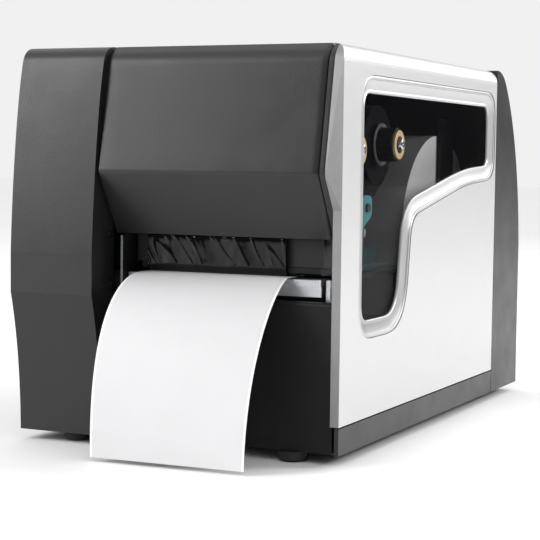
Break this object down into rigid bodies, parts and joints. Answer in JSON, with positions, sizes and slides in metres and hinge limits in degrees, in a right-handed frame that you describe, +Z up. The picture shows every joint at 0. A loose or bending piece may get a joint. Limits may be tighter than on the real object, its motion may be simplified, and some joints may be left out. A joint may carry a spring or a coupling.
{
  "type": "label printer",
  "caption": "Desktop thermal-transfer label printer with dark front, silver lift-up media door, smoked side window and a printed strip hanging from the slot.",
  "frame": {"origin": "middle of the footprint of case and hanging strip, on the table", "axes": "+X to the right seen from the front, -Y is the front, +Z up"},
  "size_m": [0.242, 0.4694, 0.277],
  "materials": {
    "dark_shell": "fine textured charcoal grey moulding",
    "silver_shell": "light silver satin paint",
    "smoked_window": "smoked clear acrylic",
    "black_plastic": "black satin moulding",
    "black_steel": "black painted steel",
    "steel": "brushed zinc-plated sheet",
    "brass": "worn yellow-plated ring",
    "rubber": "matt black rubber",
    "paper": "smooth white label stock",
    "cardboard": "wound grey-brown board",
    "ribbon_film": "glossy black wax-resin film",
    "circuit_board": "green solder mask",
    "teal_plastic": "coloured touch-point moulding"
  },
  "bodies": {
    "chassis": {"base_sill": "dark_shell", "front_bezel": "dark_shell", "electronics_cover": "dark_shell", "rear_housing": "dark_shell", "base_tray": "black_plastic", "lower_front_cover": "black_plastic", "media_hanger": "black_plastic", "web_tray": "black_plastic", "gap_sensor": "black_plastic", "power_inlet": "black_plastic", "centre_wall": "black_steel", "lever_post": "black_steel", "rear_panel": "steel", "usb_port": "steel", "network_port": "steel", "power_supply": "steel", "stepper_motor": "steel", "head_side_plate": "steel", "outer_bearing_plate": "steel", "tear_bar": "steel", "ribbon_guide_rod": "steel", "head_pivot_shaft": "steel", "hinge_bracket_front": "steel", "hinge_bracket_rear": "steel", "foot_front_left": "rubber", "foot_front_right": "rubber", "foot_rear_left": "rubber", "foot_rear_right": "rubber", "drive_belt": "rubber", "label_web": "paper", "label_strip": "paper", "ribbon_film_front": "ribbon_film", "ribbon_film_rear": "ribbon_film", "circuit_board": "circuit_board"},
    "media_door": {"door_shell": "silver_shell", "door_front": "dark_shell", "door_window": "smoked_window", "window_frame": "silver_shell"},
    "print_head": {"head_bracket": "black_steel", "thermal_head": "black_plastic"},
    "dial_inner": {"pressure_dial_inner": "teal_plastic"},
    "dial_outer": {"pressure_dial_outer": "teal_plastic"},
    "head_lever": {"head_lever": "teal_plastic"},
    "platen": {"platen_shaft": "steel", "platen_roller": "rubber", "platen_pulley": "black_plastic"},
    "motor_rotor": {"motor_pinion": "brass"},
    "ribbon_supply": {"supply_shaft": "steel", "supply_hub": "black_plastic", "supply_ring": "brass", "supply_ribbon": "ribbon_film"},
    "ribbon_takeup": {"takeup_shaft": "steel", "takeup_hub": "black_plastic", "takeup_ring": "brass", "takeup_ribbon": "ribbon_film"},
    "media_roll": {"label_roll": "paper", "roll_core": "cardboard"},
    "supply_guide": {"media_guide": "black_plastic"},
    "web_edge_guide": {"edge_guide": "teal_plastic"},
    "power_switch": {"power_rocker": "black_plastic"}
  },
  "joints": [
    {"name": "media_door_swing", "type": "hinge", "parent": "chassis", "child": "media_door", "pos_m": [-0.0515, 0.01767, 0.2745], "axis": [0, -1, 0], "range_deg": [0, 100]},
    {"name": "head_lift", "type": "hinge", "parent": "chassis", "child": "print_head", "pos_m": [0, -0.09234, 0.15], "axis": [-1, 0, 0], "range_deg": [0, 15], "deforming": ["ribbon_film_front", "ribbon_film_rear"]},
    {"name": "head_lever_turn", "type": "hinge", "parent": "chassis", "child": "head_lever", "pos_m": [0, -0.10433, 0.168], "axis": [-1, 0, 0], "range_deg": [0, 90]},
    {"name": "dial_inner_turn", "type": "hinge", "parent": "print_head", "child": "dial_inner", "pos_m": [-0.006, -0.14033, 0.155], "axis": [0, 0, 1], "range_deg": [0, 270]},
    {"name": "dial_outer_turn", "type": "hinge", "parent": "print_head", "child": "dial_outer", "pos_m": [0.064, -0.14033, 0.155], "axis": [0, 0, 1], "range_deg": [0, 270]},
    {"name": "platen_spin", "type": "hinge", "parent": "chassis", "child": "platen", "pos_m": [0, -0.15233, 0.112], "axis": [1, 0, 0], "continuous": true},
    {"name": "motor_spin", "type": "hinge", "parent": "chassis", "child": "motor_rotor", "pos_m": [0, -0.08234, 0.084], "axis": [1, 0, 0], "continuous": true},
    {"name": "ribbon_supply_spin", "type": "hinge", "parent": "chassis", "child": "ribbon_supply", "pos_m": [0, 0.00566, 0.213], "axis": [1, 0, 0], "continuous": true},
    {"name": "ribbon_takeup_spin", "type": "hinge", "parent": "chassis", "child": "ribbon_takeup", "pos_m": [0, -0.07333, 0.208], "axis": [1, 0, 0], "continuous": true},
    {"name": "media_roll_spin", "type": "hinge", "parent": "chassis", "child": "media_roll", "pos_m": [0, 0.13167, 0.138], "axis": [1, 0, 0], "continuous": true},
    {"name": "supply_guide_slide", "type": "slide", "parent": "chassis", "child": "supply_guide", "axis": [1, 0, 0], "range_m": [0, 0.008]},
    {"name": "edge_guide_slide", "type": "slide", "parent": "chassis", "child": "web_edge_guide", "axis": [1, 0, 0], "range_m": [0, 0.011]},
    {"name": "power_rocker_tilt", "type": "hinge", "parent": "chassis", "child": "power_switch", "pos_m": [-0.086, 0.23086, 0.075], "axis": [1, 0, 0], "range_deg": [0, 18]}
  ],
  "couplings": [
    {"joint": "head_lever_turn", "follows": "head_lift", "ratio": 6},
    {"joint": "motor_spin", "follows": "platen_spin", "ratio": 1.1562}
  ]
}
